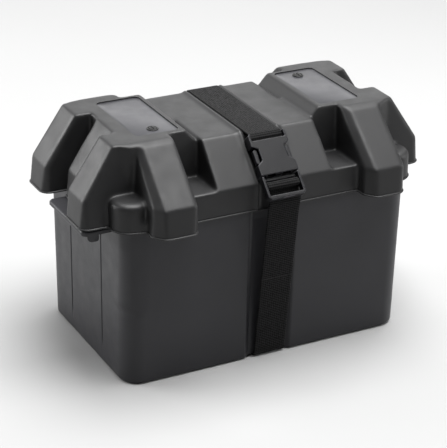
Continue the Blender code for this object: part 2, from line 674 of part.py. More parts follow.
def make_case(finishes):
    """Battery case with its cells, the plates in them and the links between them."""
    pitch = (2 * (BATTERY_HALF_X - WALL) + CELL_WALL) / CELLS
    room = (pitch - CELL_WALL) / 2
    case = add("battery_case", loft([battery_outline(CASE_BOTTOM), battery_outline(CASE_TOP)]),
               finishes["case"])
    cuts = []
    for i in range(CELLS):
        x = cell_centre(i)
        cuts.append(block(x - room, x + room, WALL - BATTERY_HALF_Y, BATTERY_HALF_Y - WALL,
                          CASE_BOTTOM + CASE_FLOOR, CASE_TOP + 0.01))
        if i + 1 < CELLS:
            y = LUG_Y if i % 2 else -LUG_Y
            middle = x + pitch / 2
            wide, high = LINK_HOLE
            cuts.append(block(middle - CELL_WALL, middle + CELL_WALL, y - wide, y + wide,
                              LINK_Z - high, LINK_Z + high))
            wide, high = LINK_HALF
            add(f"cell_link_{i + 1}", block(
                x + LUG_HALF[0] + GAP, x + pitch - LUG_HALF[0] - GAP, y - wide, y + wide,
                LINK_Z - high, LINK_Z + high), finishes["lead"])
        half_x, half_y = PLATES_HALF
        pack = add(f"cell_pack_{i + 1}", block(x - half_x, x + half_x, -half_y, half_y,
                                               CASE_BOTTOM + PLATES_CLEAR, PLATES_TOP),
                   finishes["lead"])
        half_x, half_y = LUG_HALF
        lugs = [helper(f"lug_{i}_{side}", block(
            x - half_x, x + half_x, side * LUG_Y - half_y, side * LUG_Y + half_y,
            PLATES_TOP - 0.001, LUG_TOP)) for side in (-1, 1)]
        combine(pack, "UNION", lugs)
    combine(case, "DIFFERENCE", [helper(f"case_cut_{i}", bm) for i, bm in enumerate(cuts)])


def make_cover(finishes):
    """Battery cover with holes for the terminals and, under two caps, for filling."""
    cover = add("battery_cover", loft([
        battery_outline(CASE_TOP + GAP), battery_outline(COVER_TOP - WALL),
        battery_outline(COVER_TOP, less=WALL)]), finishes["cover"])
    cuts = [block(WALL - BATTERY_HALF_X, BATTERY_HALF_X - WALL, WALL - BATTERY_HALF_Y,
                  BATTERY_HALF_Y - WALL, CASE_TOP - 0.01, COVER_TOP - WALL)]
    low, high = COVER_TOP - 0.01, COVER_TOP + 0.01
    for i in range(CELLS):
        cuts.append(turned((cell_centre(i), CAP_Y), ((HOLE_RADIUS, low), (HOLE_RADIUS, high)), 12))
    hole = POST_RADIUS[0] + 0.0004
    for side in (-1, 1):
        cuts.append(turned((side * TERMINAL_X, -TERMINAL_Y), ((hole, low), (hole, high)), 16))
    combine(cover, "DIFFERENCE", [helper(f"cover_cut_{i}", bm) for i, bm in enumerate(cuts)])

    half_x, half_y = CAP_HALF
    narrow, wide = STEM_RADIUS
    for name, cells in (("left", (0, 1, 2)), ("right", (3, 4, 5))):
        cap = add(f"vent_cap_{name}", block(
            cell_centre(cells[0]) - half_x, cell_centre(cells[-1]) + half_x, CAP_Y - half_y,
            CAP_Y + half_y, COVER_TOP + GAP, COVER_TOP + CAP_HIGH), finishes["cap"])
        stems = [helper(f"stem_{i}", turned((cell_centre(i), CAP_Y), (
            (narrow, COVER_TOP - 0.006), (wide, COVER_TOP - 0.004), (wide, COVER_TOP + 0.004)), 12))
            for i in cells]
        combine(cap, "UNION", stems)


def make_terminal(name, side, finishes):
    spot = (side * TERMINAL_X, -TERMINAL_Y)
    post_top = COVER_TOP + POST_HIGH
    wide, narrow = POST_RADIUS
    add(f"terminal_post_{name}", turned(spot, (
        (wide, LUG_TOP + GAP), (wide, COVER_TOP + GAP), (narrow, post_top)), 16), finishes["lead"])
    wide, narrow = STUD_RADIUS
    add(f"terminal_stud_{name}", turned(spot, (
        (wide, post_top + GAP), (wide, post_top + STUD_HIGH - 0.001),
        (narrow, post_top + STUD_HIGH)), 12), finishes["steel"])
    radius, thick = WASHER
    add(f"lock_washer_{name}", turned_ring(spot, (THREAD_HOLE, radius), (
        post_top + GAP, post_top + thick), 16), finishes["steel"])
    radius, high = NUT
    low = post_top + thick + GAP
    nut = add(f"wing_nut_{name}", turned_ring(spot, (THREAD_HOLE, radius), (low, low + high), 12),
              finishes["steel"])
    wings = [helper(f"wing_{name}_{way}", extrude(WING_PROFILE, lambda u, v, k, w=way: (
        spot[0] + w * u, spot[1] + (k - 0.5) * WING_THICK, low + v))) for way in (-1, 1)]
    combine(nut, "UNION", wings)
    nut.data.transform(Matrix.Translation((-spot[0], -spot[1], 0)))
    nut.location = (*spot, 0)


def smooth_round_pieces():
    for item in bpy.data.objects:
        if item.type == "MESH" and not item.hide_render:
            item.data.shade_smooth()
            item.data.set_sharp_from_angle(angle=math.radians(35))


def main():
    clear_scene()
    finishes = make_materials()
    make_box(finishes["box"])
    make_lid(finishes)
    make_strap(finishes["webbing"])
    make_buckle(finishes["buckle"])
    make_case(finishes)
    make_cover(finishes)
    make_terminal("positive", -1, finishes)
    make_terminal("negative", 1, finishes)
    smooth_round_pieces()


main()
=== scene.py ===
"""Looks of the strapped battery box: camera, studio, visible surfaces and their materials.

Everything is in metres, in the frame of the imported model: X along the box, -Y is the side
with the buckle, +Z up and the origin in the middle of the bottom.
"""
import json
import math

import bmesh
import bpy
from mathutils import Matrix, Vector

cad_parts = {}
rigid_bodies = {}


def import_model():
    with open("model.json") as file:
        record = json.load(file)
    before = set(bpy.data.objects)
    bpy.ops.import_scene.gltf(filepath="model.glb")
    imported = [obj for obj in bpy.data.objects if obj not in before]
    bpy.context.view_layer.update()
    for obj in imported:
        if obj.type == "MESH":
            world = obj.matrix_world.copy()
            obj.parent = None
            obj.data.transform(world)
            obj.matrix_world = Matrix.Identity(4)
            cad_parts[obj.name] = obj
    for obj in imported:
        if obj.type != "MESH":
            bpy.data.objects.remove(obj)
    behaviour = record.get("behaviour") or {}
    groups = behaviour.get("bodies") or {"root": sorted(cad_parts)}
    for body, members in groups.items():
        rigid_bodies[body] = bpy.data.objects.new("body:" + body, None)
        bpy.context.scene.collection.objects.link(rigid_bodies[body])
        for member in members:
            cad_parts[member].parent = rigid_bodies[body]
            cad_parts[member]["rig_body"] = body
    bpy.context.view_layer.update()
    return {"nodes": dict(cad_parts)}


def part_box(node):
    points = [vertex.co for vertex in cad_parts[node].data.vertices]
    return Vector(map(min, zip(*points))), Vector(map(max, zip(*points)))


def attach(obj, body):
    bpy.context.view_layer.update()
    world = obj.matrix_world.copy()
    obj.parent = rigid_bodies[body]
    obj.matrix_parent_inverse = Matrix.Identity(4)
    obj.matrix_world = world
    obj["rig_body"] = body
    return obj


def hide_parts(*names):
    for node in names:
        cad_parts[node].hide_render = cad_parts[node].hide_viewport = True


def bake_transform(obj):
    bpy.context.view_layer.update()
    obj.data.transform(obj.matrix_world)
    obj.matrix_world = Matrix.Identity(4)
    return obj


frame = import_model()

# ---- sizes read from the frame ------------------------------------------------------------
LID_LOW, LID_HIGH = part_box("lid")
BASE_LOW, BASE_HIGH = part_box("box_base")
STRAP_LOW, STRAP_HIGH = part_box("strap_over")
PLATE_LOW, PLATE_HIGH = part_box("label_plate_right")
RIM_Z = LID_LOW.z
TOP_Z = LID_HIGH.z
STRAP_X = (STRAP_LOW.x + STRAP_HIGH.x) / 2
STRAP_HALF = (STRAP_HIGH.x - STRAP_LOW.x) / 2

# ---- sizes of the moulded shapes ----------------------------------------------------------
GAP = 0.0003                               # play left between pieces that touch
WALL = 0.003                               # moulded wall of the box and lid
BOX_HALF = Vector((0.1685, 0.1025))        # outside of the box at its bottom
BOX_TOP_HALF = Vector((0.1690, 0.1066))    # and just under its rim
BOX_CORNER = 0.022
BOX_FOOT = 0.005                           # rounding where walls meet the bottom
FOOT_RINGS = 6
WALL_RINGS = 24
COARSE = 0.0060                            # spacing of points along the box's sides
CHANNEL_HALF = 0.0220
CHANNEL_SOFT = 0.0070                      # width of each rounded shoulder of the channel
CHANNEL_DEPTH = 0.0035
CHANNEL_STEP = 0.0008                      # spacing of points on those shoulders
CHANNEL_IN_NECK = 0.0008                   # what is left of the channel inside the neck
GROOVE_Y = 0.0405                          # thin upright grooves in the two ends
GROOVE_HALF = 0.0009
GROOVE_DEPTH = 0.0011
GROOVE_REACH = 0.0030
GROOVE_STEP = 0.0003
GROOVE_START = (0.018, 0.034)              # heights between which the grooves fade in
DECK_Z = 0.2510
DECK_EDGE_Y = 0.0650
SHOULDER_Z = 0.2085
SKIRT_TOP_Y = 0.1070
SKIRT_Y = 0.1077
LABEL_DEPTH = 0.0016
LABEL_CORNER = 0.006
LABEL_BELOW = 0.0010                       # label plate's face under the block's top
COLLAR = 0.0034                            # step from the box's outside to its neck
NECK_WALL = 0.0026
FLOOR_Z = 0.0050
FLOOR_RIB_TOP = 0.0076
FLOOR_RIB_X = 0.115
FLOOR_RIB_HALF = (0.005, 0.075)
GRIP_Y = (-0.0784, 0.0150)                 # sides of the grip at the -X end
GRIP_THICK = 0.0055
GRIP_CORNER = 0.0040
TAB_THICK = 0.0032
TAB_PROFILE = ((0.1868, 0.1745), (0.1995, 0.1745), (0.1995, 0.1690), (0.1975, 0.1665),
               (0.1945, 0.1655), (0.1885, 0.1655), (0.1868, 0.1672))

VOXEL = 0.0012                             # grain of the remeshed lid
LID_ROUNDS = 26                            # smoothing that rounds its edges
LID_KEEP = 0.36                            # share of its faces that stay
LIP_Z = RIM_Z + 0.0013                     # bead along the lid's lower edge
LIP_WIDE = 0.0021
LIP_HIGH = 0.0012
LIP_STEP = 0.0018

STRAP_THICK = 0.0018
STRAP_LIFT = 0.0013                        # strap's middle above the lid
STRAP_COLUMNS = 20
RIB_PITCH = 0.0023                         # cross ribs of the weave
RIB_HIGH = 0.00010
HEM_HIGH = 0.00012
SPLIT_Z = 0.100                            # where the front run passes to the plug
FRONT_TOP = (-0.1226, 0.1755)              # top of the front run, behind the plug's loop
CHANNEL_TURN = ((0.0034, 0.0062), (0.0023, 0.0035), (-0.0005, 0.0019))   # round the box's foot
STRAP_OVER_SOCKET = ((0.0085, 0.0102), (0.0133, 0.0106), (0.0154, 0.0088), (0.0154, 0.0046),
                     (0.0132, 0.0019), (0.0040, 0.0015))
STRAP_IN_PLUG = ((0.0836, 0.0034), (0.0745, 0.0046), (0.0716, 0.0076), (0.0707, 0.0112),
                 (0.0690, 0.0124), (0.0660, 0.0124), (0.0640, 0.0110), (0.0638, 0.0046),
                 (0.0655, 0.0019), (0.0735, 0.0014))
BUCKLE_VOXEL = 0.00045
PLUG_BAR = ((0.0565, 0.0616), (0.0076, 0.0200))   # along and above the slope: room over a low bar
PRONG_BOW = 0.0031
PRONG_BOW_START = (0.0235, 0.0275)         # along the slope
PRONG_BOW_END = (0.0395, 0.0460)

# vent plug: how far inside its rim and above its plate, from the rim to the middle
VENT_PROFILE = ((0.0, 0.0001), (0.0, 0.0006), (0.0004, 0.0010), (0.0012, 0.0010),
                (0.0015, 0.0003), (0.0020, 0.0003), (0.0024, 0.0011), (0.0045, 0.0013))
VENT_SLOT = (0.0016, 0.0006, 0.0004)       # cross slot: end from the rim, half width, floor

# studio: place, aim, size and power of each soft light
LIGHTS = {
    "top_box": ((0.35, -0.05, 2.3), (0, 0, 0.1), (2.0, 1.6), 142.0),
    "left_box": ((-1.8, 1.4, 0.8), (0, 0, 0.1), (1.4, 1.0), 60.0),
    "right_box": ((1.3, -0.6, 0.5), (0.15, 0, 0.12), (0.7, 0.7), 9.0),
    "back_box": ((0.8, 2.4, 1.2), (0, 0, 0.2), (4.0, 1.4), 34.0),
}
AMBIENT = 0.13
FLOOR_HALF = 6.0
CAMERA_LENS = 138.2
CAMERA_PLACE = Vector((-0.8133, -1.5271, 0.9268))
CAMERA_AIM = Vector((-0.0021, 0.0011, 0.1137))
CAMERA_ROLL = math.radians(1.12)

SLOPE_DOWN = Vector((0, DECK_EDGE_Y - SKIRT_TOP_Y, SHOULDER_Z - DECK_Z)).normalized()
SLOPE_OUT = Vector((0, SLOPE_DOWN.z, -SLOPE_DOWN.y))


# ---- mesh tools ---------------------------------------------------------------------------
def link(name, mesh):
    made = bpy.data.objects.new(name, mesh)
    bpy.context.scene.collection.objects.link(made)
    return made


def from_bmesh(name, bm):
    bmesh.ops.recalc_face_normals(bm, faces=bm.faces)
    mesh = bpy.data.meshes.new(name)
    bm.to_mesh(mesh)
    bm.free()
    return link(name, mesh)


def node_copy(node, name):
    """Copy of a CAD node's mesh with its split corners joined again."""
    bm = bmesh.new()
    bm.from_mesh(frame["nodes"][node].data)
    bmesh.ops.remove_doubles(bm, verts=bm.verts, dist=1e-6)
    return from_bmesh(name, bm)


def bake(obj):
    """Replace the mesh by what its modifiers make of it."""
    seen = obj.evaluated_get(bpy.context.evaluated_depsgraph_get())
    mesh = bpy.data.meshes.new_from_object(seen)
    obj.modifiers.clear()
    old = obj.data
    obj.data = mesh
    bpy.data.meshes.remove(old)
    return obj


def discard(*objects):
    for item in objects:
        mesh = item.data
        bpy.data.objects.remove(item)
        bpy.data.meshes.remove(mesh)


def join(target, others):
    """Pour the other meshes into the target's mesh."""
    bm = bmesh.new()
    bm.from_mesh(target.data)
    for other in others:
        bm.from_mesh(other.data)
    bm.to_mesh(target.data)
    bm.free()
    discard(*others)
    return target


def remesh(obj, voxel, rounds, keep=1.0):
    """Even skin with rounded edges: voxels, smoothing, then fewer faces."""
    skin = obj.modifiers.new("skin", "REMESH")
    skin.mode = "VOXEL"
    skin.voxel_size = voxel
    soft = obj.modifiers.new("soft", "SMOOTH")
    soft.factor = 0.5
    soft.iterations = rounds
    bake(obj)
    if keep < 1.0:
        fewer = obj.modifiers.new("fewer", "DECIMATE")
        fewer.ratio = keep
        bake(obj)
    return obj


def cut(obj, cutters, operation="DIFFERENCE"):
    for cutter in cutters:
        step = obj.modifiers.new("cut", "BOOLEAN")
        step.operation = operation
        step.object = cutter
        step.solver = "EXACT"
    bake(obj)
    discard(*cutters)
    return obj


def smooth_shade(obj, angle=35):
    obj.data.shade_smooth()
    if angle:
        obj.data.set_sharp_from_angle(angle=math.radians(angle))
    return obj


def bevel(obj, width, segments=3, angle=40):
    step = obj.modifiers.new("round", "BEVEL")
    step.width = width
    step.segments = segments
    step.limit_method = "ANGLE"
    step.angle_limit = math.radians(angle)
    step.use_clamp_overlap = True
    step.harden_normals = False
    return bake(obj)


def loft(rings):
    """Closed skin through rings that hold the same number of points."""
    bm = bmesh.new()
    rows = [[bm.verts.new(point) for point in ring] for ring in rings]
    count = len(rows[0])
    for low, high in zip(rows, rows[1:]):
        for i in range(count):
            j = (i + 1) % count
            bm.faces.new((low[i], low[j], high[j], high[i]))
    bm.faces.new(rows[0][::-1])
    bm.faces.new(rows[-1])
    return bm


def rounded_outline(half_x, half_y, radius, steps=10, middle=(0.0, 0.0)):
    """(x, y) points of a rounded rectangle, corners only."""
    points = []
    for sx, sy, start in ((1, -1, -90), (1, 1, 0), (-1, 1, 90), (-1, -1, 180)):
        for i in range(steps + 1):
            a = math.radians(start + 90 * i / steps)
            points.append((middle[0] + sx * (half_x - radius) + radius * math.cos(a),
                           middle[1] + sy * (half_y - radius) + radius * math.sin(a)))
    return points


def slab(outline, low, high):
    return loft([[(x, y, z) for x, y in outline] for z in (low, high)])


def box(x0, x1, y0, y1, z0, z1):
    return slab([(x0, y0), (x1, y0), (x1, y1), (x0, y1)], z0, z1)


def smoothstep(value, low, high):
    t = min(1.0, max(0.0, (value - low) / (high - low)))
    return t * t * (3 - 2 * t)


# ---- material tools -----------------------------------------------------------------------
class Nodes:
    """Short names for building one material."""

    def __init__(self, name, colour, roughness, metallic=0.0, specular=0.5):
        self.material = bpy.data.materials.new(name)
        self.material.use_nodes = True
        self.tree = self.material.node_tree
        self.shader = self.tree.nodes["Principled BSDF"]
        self.set("Base Color", (*colour, 1.0))
        self.set("Roughness", roughness)
        self.set("Metallic", metallic)
        self.set("Specular IOR Level", specular)
        self.place = self.node("ShaderNodeTexCoord").outputs["Object"]

    def set(self, socket, value):
        self.shader.inputs[socket].default_value = value

    def node(self, kind, **inputs):
        made = self.tree.nodes.new(kind)
        for name, value in inputs.items():
            self.feed(made.inputs[name.replace("_", " ")], value)
        return made

    def feed(self, socket, value):
        if isinstance(value, bpy.types.NodeSocket):
            self.tree.links.new(value, socket)
        else:
            socket.default_value = value

    def noise(self, scale, detail=2.0, roughness=0.5, stretch=None):
        place = self.place
        if stretch:
            place = self.node("ShaderNodeMapping", Vector=place, Scale=stretch).outputs["Vector"]
        made = self.node("ShaderNodeTexNoise", Vector=place, Scale=scale, Detail=detail,
                         Roughness=roughness)
        return made.outputs["Fac"]

    def math(self, operation, first, second=0.0):
        made = self.tree.nodes.new("ShaderNodeMath")
        made.operation = operation
        self.feed(made.inputs[0], first)
        self.feed(made.inputs[1], second)
        return made.outputs[0]

    def between(self, factor, low, high, start=0.3, end=0.7):
        """Number that goes from low to high as the factor goes from start to end."""
        made = self.node("ShaderNodeMapRange", Value=factor)
        for name, value in (("From Min", start), ("From Max", end), ("To Min", low), ("To Max", high)):
            made.inputs[name].default_value = value
        return made.outputs["Result"]

    def blend(self, factor, first, second):
        made = self.tree.nodes.new("ShaderNodeMix")
        made.data_type = "RGBA"
        self.feed(made.inputs["Factor"], factor)
        colours = [socket for socket in made.inputs if socket.type == "RGBA"]
        for socket, colour in zip(colours, (first, second)):
            if isinstance(colour, tuple):
                colour = (*colour, 1.0)
            self.feed(socket, colour)
        return [socket for socket in made.outputs if socket.type == "RGBA"][0]

    def bump(self, height, distance, strength=1.0, below=None):
        made = self.node("ShaderNodeBump", Height=height, Distance=distance, Strength=strength)
        if below is not None:
            self.feed(made.inputs["Normal"], below)
        return made.outputs["Normal"]

    def to(self, socket, value):
        self.feed(self.shader.inputs[socket], value)


def shade(colour, factor):
    return tuple(channel * factor for channel in colour)


def moulded(name, colour, roughness, grain=900.0, depth=0.00006, specular=0.5, spread=0.12,
            edges=0.0):
    """Injection moulded plastic: fine grain, faint flow clouds, and a painted highlight on the pointy
    edges.
    """
    n = Nodes(name, colour, roughness, specular=specular)
    clouds = n.noise(14.0, detail=3.0, roughness=0.6)
    tone = n.blend(n.between(clouds, 0.0, 1.0), shade(colour, 1 - spread), shade(colour, 1 + spread))
    # painted highlight: pointy edges are lightened in random patches to stand in for light glinting on
    # them
    if edges:
        point = n.node("ShaderNodeNewGeometry").outputs["Pointiness"]
        painted_edge_highlight = n.math("MULTIPLY", n.between(point, 0.0, edges, 0.515, 0.60), n.noise(160.0, 3.0))
        tone = n.blend(painted_edge_highlight, tone, shade(colour, 1 + 9 * edges))
    n.to("Base Color", tone)
    fine = n.noise(grain, detail=2.0, roughness=0.6)
    n.to("Roughness", n.between(n.noise(55.0, 3.0), roughness - 0.05, roughness + 0.06))
    rough = n.bump(clouds, 0.0006, 0.25)
    n.to("Normal", n.bump(fine, depth, 0.8, below=rough))
    return n.material


def webbing(name, colour):
    """Woven strap: cross ribs, slanted yarns and fuzz, laid along the strap's own map."""
    n = Nodes(name, colour, 0.85, specular=0.10)
    strap_map = n.node("ShaderNodeUVMap")
    strap_map.uv_map = "along"
    parts = n.node("ShaderNodeSeparateXYZ", Vector=strap_map.outputs["UV"])
    across, along = parts.outputs["X"], parts.outputs["Y"]
    turn = 2 * math.pi
    ribs = n.math("SINE", n.math("MULTIPLY", along, turn / RIB_PITCH))
    lanes = n.math("SINE", n.math("MULTIPLY", across, turn / 0.0026))
    slant = n.math("SINE", n.math("ADD", n.math("MULTIPLY", along, turn / 0.0012),
                                  n.math("MULTIPLY", across, turn / 0.0017)))
    fuzz = n.noise(1500.0, 2.0)
    weave = n.math("ADD", n.math("MULTIPLY", ribs, 0.5), n.math("MULTIPLY", lanes, 0.2))
    weave = n.math("ADD", weave, n.math("MULTIPLY", slant, 0.3))
    tone = n.between(n.math("ADD", weave, n.math("MULTIPLY", fuzz, 0.8)), 0.0, 1.0, -0.5, 1.2)
    speckle = n.between(n.math("ADD", tone, n.noise(520.0, 2.0)), 0.0, 1.0, 0.55, 1.40)
    n.to("Base Color", n.blend(tone, shade(colour, 0.45), shade(colour, 1.7)))
    n.to("Specular IOR Level", n.between(speckle, 0.0, 0.16))
    n.to("Sheen Weight", n.between(speckle, 0.0, 0.08))
    n.to("Roughness", n.between(fuzz, 0.75, 0.95))
    n.to("Normal", n.bump(fuzz, 0.0001, 0.5, below=n.bump(weave, 0.00018, 0.8)))
    n.set("Sheen Roughness", 0.5)
    return n.material


def brushed(name, colour, roughness):
    """Turned or rolled steel with fine scratches."""
    n = Nodes(name, colour, roughness, metallic=1.0)
    scratches = n.noise(420.0, 3.0, 0.7, stretch=(1.0, 1.0, 9.0))
    n.to("Base Color", n.blend(n.noise(90.0, 3.0), shade(colour, 0.82), shade(colour, 1.08)))
    n.to("Roughness", n.between(scratches, roughness - 0.08, roughness + 0.14))
    n.to("Normal", n.bump(scratches, 0.00005, 0.4))
    return n.material


def cast_lead(name, colour):
    """Soft grey cast metal with dull oxide patches."""
    n = Nodes(name, colour, 0.5, metallic=0.9)
    patches = n.between(n.noise(120.0, 4.0, 0.65), 0.0, 1.0, 0.4, 0.62)
    n.to("Base Color", n.blend(patches, colour, shade(colour, 0.45)))
    n.to("Roughness", n.between(patches, 0.42, 0.72, 0.0, 1.0))
    n.to("Normal", n.bump(n.noise(700.0, 3.0), 0.00012, 0.7))
    return n.material


FINISH = {
    "box": moulded("moulded_box_black", (0.021, 0.021, 0.0235), 0.44, specular=0.30, depth=0.00005),
    # lid: edges=0.35 paints a faint highlight on its pointy edges
    "lid": moulded("moulded_lid_black", (0.0125, 0.0125, 0.0130), 0.48, specular=0.34, edges=0.35),
    "label": moulded("smooth_label_grey", (0.031, 0.031, 0.035), 0.36, grain=1600.0, depth=0.00002,
                     specular=0.34),
    "plug": moulded("gloss_plug_black", (0.008, 0.008, 0.008), 0.40, grain=1800.0, depth=0.00002,
                    specular=0.25),
    "webbing": webbing("black_webbing", (0.0062, 0.0062, 0.0064)),
    # buckle: edges=1.6 paints a strong highlight on its pointy edges
    "buckle": moulded("satin_buckle_black", (0.0075, 0.0075, 0.0085), 0.36, grain=800.0, depth=0.00010,
                      specular=0.20, edges=1.6),
    "case": moulded("battery_case_grey", (0.070, 0.072, 0.076), 0.50),
    "cover": moulded("battery_cover_black", (0.030, 0.030, 0.032), 0.45),
    "cap": moulded("vent_cap_yellow", (0.560, 0.360, 0.030), 0.42, grain=1300.0, depth=0.00003),
    "plates": cast_lead("lead_plates", (0.260, 0.270, 0.290)),
    "lead": cast_lead("cast_lead_posts", (0.340, 0.350, 0.370)),
    "steel": brushed("stainless_steel", (0.600, 0.595, 0.585), 0.30),
}


def finish(obj, kind, body, *nodes, slot=None):
    """Give a piece its material, the body it rides on and the nodes it stands for; slot is not used."""
    obj.data.materials.clear()
    obj.data.materials.append(FINISH[kind])
    if body:
        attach(obj, body)
    if nodes:
        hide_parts(*nodes)
    return obj


# ---- lid ----------------------------------------------------------------------------------
def label_outline(side, half_extra=0.0):
    middle = side * (PLATE_LOW.x + PLATE_HIGH.x) / 2
    half_x = (PLATE_HIGH.x - PLATE_LOW.x) / 2 + GAP + half_extra
    half_y = (PLATE_HIGH.y - PLATE_LOW.y) / 2 + GAP + half_extra
    return rounded_outline(half_x, half_y, LABEL_CORNER, middle=(middle, 0.0))


def outer_loop(obj, z):
    """Outermost (x, y) outline of a mesh at a height."""
    bm = bmesh.new()
    bm.from_mesh(obj.data)
    sliced = bmesh.ops.bisect_plane(bm, geom=bm.verts[:] + bm.edges[:] + bm.faces[:],
                                    plane_co=(0, 0, z), plane_no=(0, 0, 1))
    beside = {}
    for edge in sliced["geom_cut"]:
        if isinstance(edge, bmesh.types.BMEdge):
            a, b = edge.verts
            beside.setdefault(a, []).append(b)
            beside.setdefault(b, []).append(a)
    left = set(beside)
    best = []
    for first in beside:
        loop = []
        here = first if first in left else None
        while here:
            left.discard(here)
            loop.append(Vector((here.co.x, here.co.y)))
            here = next((v for v in beside[here] if v in left), None)
        if loop and (not best or max(p.x for p in loop) > max(p.x for p in best)):
            best = loop
    bm.free()
    return best


def even_loop(points, step, rounds=3):
    """Evenly spaced, slightly smoothed copy of a closed outline."""
    closed = points + points[:1]
    even = []
    left = 0.0
    for start, end in zip(closed, closed[1:]):
        length = (end - start).length
        while left < length:
            even.append(start.lerp(end, left / length))
            left += step
        left -= length
    count = len(even)
    for _ in range(rounds):
        even = [(even[i - 1] + 2 * even[i] + even[(i + 1) % count]) / 4 for i in range(count)]
    return even


def make_lip(lid):
    """Rounded bead along the lid's lower edge, as one closed ring."""
    line = even_loop(outer_loop(lid, LIP_Z), LIP_STEP)
    count = len(line)
    turning = sum(line[i - 1].cross(line[i]) for i in range(count))
    bm = bmesh.new()
    sides = 10
    rings = []
    for i, here in enumerate(line):
        along = (line[(i + 1) % count] - line[i - 1]).normalized()
        out = Vector((along.y, -along.x)) * math.copysign(1.0, turning)
        ring = []
        for k in range(sides):
            a = 2 * math.pi * k / sides
            spot = here + out * LIP_WIDE * math.cos(a)
            ring.append(bm.verts.new((spot.x, spot.y, LIP_Z + LIP_HIGH * math.sin(a))))
        rings.append(ring)
    for i, ring in enumerate(rings):
        following = rings[(i + 1) % count]
        for k in range(sides):
            j = (k + 1) % sides
            bm.faces.new((ring[k], ring[j], following[j], following[k]))
    lip = smooth_shade(from_bmesh("lid_rim_bead", bm), 0)
    finish(lip, "lid", "lid")


def make_lid():
    lid = node_copy("lid", "lid_shell")
    fillers = [from_bmesh("filler", slab(label_outline(side, 0.003), TOP_Z - 2 * LABEL_DEPTH, TOP_Z))
               for side in (-1, 1)]
    join(lid, fillers)
    remesh(lid, VOXEL, LID_ROUNDS, keep=LID_KEEP)
    cut(lid, [from_bmesh("recess", slab(label_outline(side), TOP_Z - LABEL_DEPTH, TOP_Z + 0.01))
              for side in (-1, 1)])
    smooth_shade(lid, 50)
    finish(lid, "lid", "lid", "lid")
    make_lip(lid)


# ---- box ----------------------------------------------------------------------------------
def spread(low, high, step):
    count = max(1, round((high - low) / step))
    return [low + (high - low) * i / count for i in range(count)]


def side_stations(half, radius, marks):
    """Places along a straight side from -(half - radius) up, closer together at each mark."""
    edge = half - radius
    stops = [(-edge, COARSE)]
    for centre, reach, fine in marks:
        stops += [(centre - reach, fine), (centre + reach, COARSE)]
    stops.append((edge, COARSE))
    places = []
    for (low, step), (high, _) in zip(stops, stops[1:]):
        places += spread(low, high, step)
    return places + [edge]


def wall_ring(half, radius, z, channel=0.0, groove=0.0, steps=12):
    """Closed ring of points; channel and groove press into the long sides and the ends."""
    shoulder = CHANNEL_SOFT * 1.2
    middle = CHANNEL_HALF + CHANNEL_SOFT / 2
    long_marks = [(way * middle, shoulder, CHANNEL_STEP) for way in (-1, 1)]
    short_marks = [(way * GROOVE_Y, GROOVE_REACH, GROOVE_STEP) for way in (-1, 1)]
    long_side = side_stations(half.x, radius, long_marks)
    short_side = side_stations(half.y, radius, short_marks)

    def channel_dent(x):
        return channel * (1 - smoothstep(abs(x), CHANNEL_HALF, CHANNEL_HALF + CHANNEL_SOFT))

    def groove_dent(y):
        away = abs(abs(y) - GROOVE_Y)
        return groove * (1 - smoothstep(away, GROOVE_HALF * 0.5, GROOVE_HALF * 1.6))

    ring = []
    for quarter in range(4):
        if quarter % 2 == 0:
            side = -1 if quarter == 0 else 1
            for x in long_side[:-1]:
                ring.append((-side * x, side * (half.y - channel_dent(x)), z))
        else:
            side = 1 if quarter == 1 else -1
            for y in short_side[:-1]:
                ring.append((side * (half.x - groove_dent(y)), side * y, z))
        sx, sy = ((1, -1), (1, 1), (-1, 1), (-1, -1))[quarter]
        for i in range(steps):
            a = math.radians(-90 + 90 * quarter + 90 * i / steps)
            ring.append((sx * (half.x - radius) + radius * math.cos(a),
                         sy * (half.y - radius) + radius * math.sin(a), z))
    return ring


def make_grips(shoulder):
    """Hand grip at each end with the upright tab under its far side."""
    low, high = GRIP_Y
    inner = BOX_TOP_HALF.x - 0.0040
    far = BASE_HIGH.x
    near = far - GRIP_CORNER
    outline = ((inner, low), (near, low), (far, low + GRIP_CORNER), (far, high - GRIP_CORNER),
               (near, high), (inner, high))
    grips = []
    for end in (-1, 1):
        grip = from_bmesh("grip", slab([(end * x, -end * y) for x, y in outline],
                                       shoulder - GRIP_THICK, shoulder))
        grips.append(bevel(grip, 0.0016, angle=30))
        tab = from_bmesh("tab", loft([[(end * x, -end * y, z) for x, z in TAB_PROFILE]
                                      for y in (low, low + TAB_THICK)]))
        grips.append(bevel(tab, 0.0007, 2, angle=30))
    return grips


